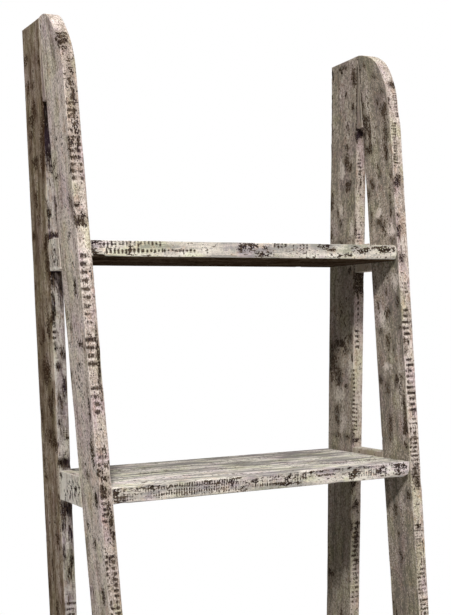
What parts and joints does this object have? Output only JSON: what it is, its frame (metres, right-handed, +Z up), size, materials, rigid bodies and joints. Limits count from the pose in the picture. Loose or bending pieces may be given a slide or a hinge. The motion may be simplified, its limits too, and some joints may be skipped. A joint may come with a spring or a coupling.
{
  "type": "ladder bookcase",
  "caption": "Open ladder bookcase: plumb rear posts and leaning front posts with rounded heads, joined by side rails and shelves that grow deeper towards the floor.",
  "frame": {"origin": "on the floor, under the middle of the bookcase's width and depth", "axes": "+X to the viewer's right, +Y to the back, +Z up"},
  "size_m": [0.6, 0.3876, 1.68],
  "materials": {
    "whitewash": "thin greige whitewash, worn through to dark stained rough-sawn wood",
    "brown_wash": "browner, thinner wash over dark stained rough-sawn wood",
    "pale_wash": "paler whitewash with long grain streaks and dark saw marks on the edges",
    "dowel": "bare beech",
    "screw": "zinc plated"
  },
  "bodies": {
    "root": {"left_rear_post": "brown_wash", "left_front_post": "whitewash", "left_top_wedge": "whitewash", "left_rail_1": "pale_wash", "left_rail_2": "pale_wash", "left_rail_3": "pale_wash", "left_rail_4": "pale_wash", "left_rail_1_rear_dowel": "dowel", "left_rail_1_front_dowel": "dowel", "left_rail_2_rear_dowel": "dowel", "left_rail_2_front_dowel": "dowel", "left_rail_3_rear_dowel": "dowel", "left_rail_3_front_dowel": "dowel", "left_rail_4_rear_dowel": "dowel", "left_rail_4_front_dowel": "dowel", "left_head_dowel_1": "dowel", "left_head_dowel_2": "dowel", "left_shelf_1_rear_screw": "screw", "left_shelf_1_front_screw": "screw", "left_shelf_2_rear_screw": "screw", "left_shelf_2_front_screw": "screw", "left_shelf_3_rear_screw": "screw", "left_shelf_3_front_screw": "screw", "left_shelf_4_rear_screw": "screw", "left_shelf_4_front_screw": "screw", "right_rear_post": "whitewash", "right_front_post": "whitewash", "right_top_wedge": "whitewash", "right_rail_1": "pale_wash", "right_rail_2": "pale_wash", "right_rail_3": "pale_wash", "right_rail_4": "pale_wash", "right_rail_1_rear_dowel": "dowel", "right_rail_1_front_dowel": "dowel", "right_rail_2_rear_dowel": "dowel", "right_rail_2_front_dowel": "dowel", "right_rail_3_rear_dowel": "dowel", "right_rail_3_front_dowel": "dowel", "right_rail_4_rear_dowel": "dowel", "right_rail_4_front_dowel": "dowel", "right_head_dowel_1": "dowel", "right_head_dowel_2": "dowel", "right_shelf_1_rear_screw": "screw", "right_shelf_1_front_screw": "screw", "right_shelf_2_rear_screw": "screw", "right_shelf_2_front_screw": "screw", "right_shelf_3_rear_screw": "screw", "right_shelf_3_front_screw": "screw", "right_shelf_4_rear_screw": "screw", "right_shelf_4_front_screw": "screw", "shelf_1": "pale_wash", "shelf_2": "pale_wash", "shelf_3": "pale_wash", "shelf_4": "pale_wash"}
  },
  "joints": []
}
